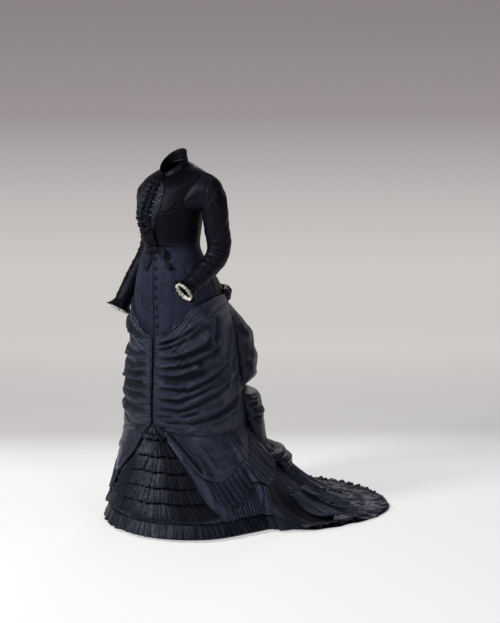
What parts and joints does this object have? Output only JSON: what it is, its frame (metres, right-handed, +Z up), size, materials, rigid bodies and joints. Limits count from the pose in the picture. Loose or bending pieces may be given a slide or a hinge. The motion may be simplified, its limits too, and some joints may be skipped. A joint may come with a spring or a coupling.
{
  "type": "bustle dress",
  "caption": "Long-sleeved silk dress with a pointed bodice, a draped apron, ruffled tiers, bustle poufs and a swept train, in its worn shape.",
  "frame": {"origin": "middle of the dress's shoulder line, where the wearer's shoulders hold it up, 1.36 m above the hem", "axes": "+Z up along the dress, -Y out of the front, +X to the wearer's left, where the train sweeps back and to that side"},
  "size_m": [1.0336, 1.107, 1.4789],
  "materials": {
    "silk": "dark slate blue silk taffeta with a soft sheen",
    "silk_dark": "near-black blue silk taffeta",
    "lace": "ivory lace",
    "button": "dark silk-covered buttons with a low gloss"
  },
  "bodies": {
    "root": {"apron_left": "silk", "apron_right": "silk", "back_bow": "silk_dark", "bodice_back_left": "silk", "bodice_back_right": "silk", "bodice_front_left": "silk", "bodice_front_right": "silk", "bow_knot": "silk", "bow_loop_left": "silk", "bow_loop_right": "silk", "bow_tail_left": "silk", "bow_tail_right": "silk", "button_1": "button", "button_2": "button", "button_3": "button", "button_4": "button", "button_5": "button", "button_6": "button", "button_7": "button", "button_8": "button", "collar": "silk", "cuff_frill_left": "silk_dark", "cuff_frill_right": "silk_dark", "cuff_lace_left": "lace", "cuff_lace_right": "lace", "front_frill_left": "silk_dark", "front_frill_right": "silk_dark", "front_tier_1": "silk", "front_tier_2": "silk", "front_tier_3": "silk", "front_tier_4": "silk", "front_tier_5": "silk", "front_tier_6": "silk", "hem_flounce": "silk", "lower_panel_left": "silk", "lower_panel_right": "silk", "plastron_left": "silk", "plastron_right": "silk", "pouf_lower": "silk", "pouf_middle": "silk", "pouf_upper": "silk", "skirt_front": "silk", "skirt_train": "silk", "slant_pleats_left": "silk", "slant_pleats_right": "silk", "sleeve_left": "silk_dark", "sleeve_right": "silk_dark", "train_pleats": "silk", "train_ruffle_1": "silk", "train_ruffle_2": "silk", "train_ruffle_3": "silk", "upright_pleats_left": "silk", "upright_pleats_right": "silk", "waist_sash_left": "silk", "waist_sash_right": "silk"}
  },
  "joints": []
}
